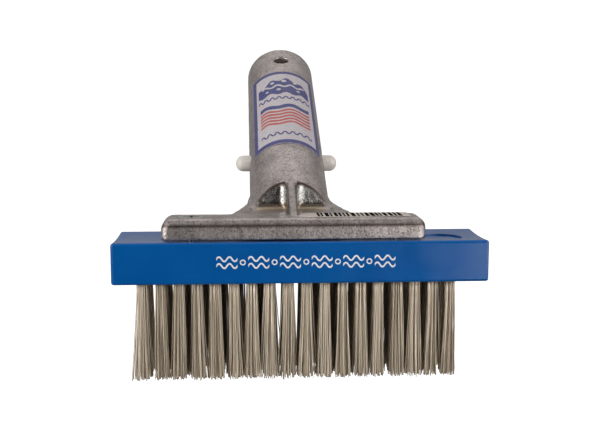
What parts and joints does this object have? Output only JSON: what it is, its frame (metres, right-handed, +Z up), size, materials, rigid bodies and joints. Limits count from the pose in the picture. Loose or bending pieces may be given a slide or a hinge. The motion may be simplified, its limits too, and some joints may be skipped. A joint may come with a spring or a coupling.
{
  "type": "pool wall brush",
  "caption": "Narrow pool algae brush: a blue plastic block of stainless wire tufts under a slanted cast aluminium pole handle with two spring buttons.",
  "frame": {"origin": "centre of the handle's open end, on the handle's axis, where the pole slides over the handle", "axes": "+X along the block, +Z up and away from the tuft tips, +Y level and away from the block's front face, so the handle runs from the block towards +Y and +Z at 27 degrees above level"},
  "size_m": [0.127, 0.1399, 0.1165],
  "materials": {
    "block_blue_plastic": "gloss",
    "cast_aluminium": "satin",
    "clip_white_plastic": "satin",
    "screw_steel": "satin",
    "bristle_steel": "satin",
    "label_film": "satin",
    "sticker_paper": "matte"
  },
  "bodies": {
    "brush": {"bristle_block": "block_blue_plastic", "handle_casting": "cast_aluminium", "clip_bend": "clip_white_plastic", "screw_left": "screw_steel", "screw_right": "screw_steel", "handle_label": "label_film", "barcode_sticker": "sticker_paper", "tuft_front_01": "bristle_steel", "tuft_front_02": "bristle_steel", "tuft_front_03": "bristle_steel", "tuft_front_04": "bristle_steel", "tuft_front_05": "bristle_steel", "tuft_front_06": "bristle_steel", "tuft_front_07": "bristle_steel", "tuft_front_08": "bristle_steel", "tuft_front_09": "bristle_steel", "tuft_front_10": "bristle_steel", "tuft_front_11": "bristle_steel", "tuft_front_12": "bristle_steel", "tuft_front_13": "bristle_steel", "tuft_front_14": "bristle_steel", "tuft_front_15": "bristle_steel", "tuft_front_16": "bristle_steel", "tuft_front_17": "bristle_steel", "tuft_front_18": "bristle_steel", "tuft_rear_01": "bristle_steel", "tuft_rear_02": "bristle_steel", "tuft_rear_03": "bristle_steel", "tuft_rear_04": "bristle_steel", "tuft_rear_05": "bristle_steel", "tuft_rear_06": "bristle_steel", "tuft_rear_07": "bristle_steel", "tuft_rear_08": "bristle_steel", "tuft_rear_09": "bristle_steel", "tuft_rear_10": "bristle_steel", "tuft_rear_11": "bristle_steel", "tuft_rear_12": "bristle_steel", "tuft_rear_13": "bristle_steel", "tuft_rear_14": "bristle_steel", "tuft_rear_15": "bristle_steel", "tuft_rear_16": "bristle_steel", "tuft_rear_17": "bristle_steel", "tuft_rear_18": "bristle_steel"},
    "left_button": {"clip_leg_left": "clip_white_plastic"},
    "right_button": {"clip_leg_right": "clip_white_plastic"}
  },
  "joints": [
    {"name": "left_button_press", "type": "hinge", "parent": "brush", "child": "left_button", "pos_m": [-0.0093, -0.02976, -0.01516], "axis": [0, -0.454, 0.891], "range_deg": [0, 7.4], "stiffness_Nm_per_rad": 1.5},
    {"name": "right_button_press", "type": "hinge", "parent": "brush", "child": "right_button", "pos_m": [0.0093, -0.02976, -0.01516], "axis": [0, 0.454, -0.891], "range_deg": [0, 7.4], "stiffness_Nm_per_rad": 1.5}
  ]
}
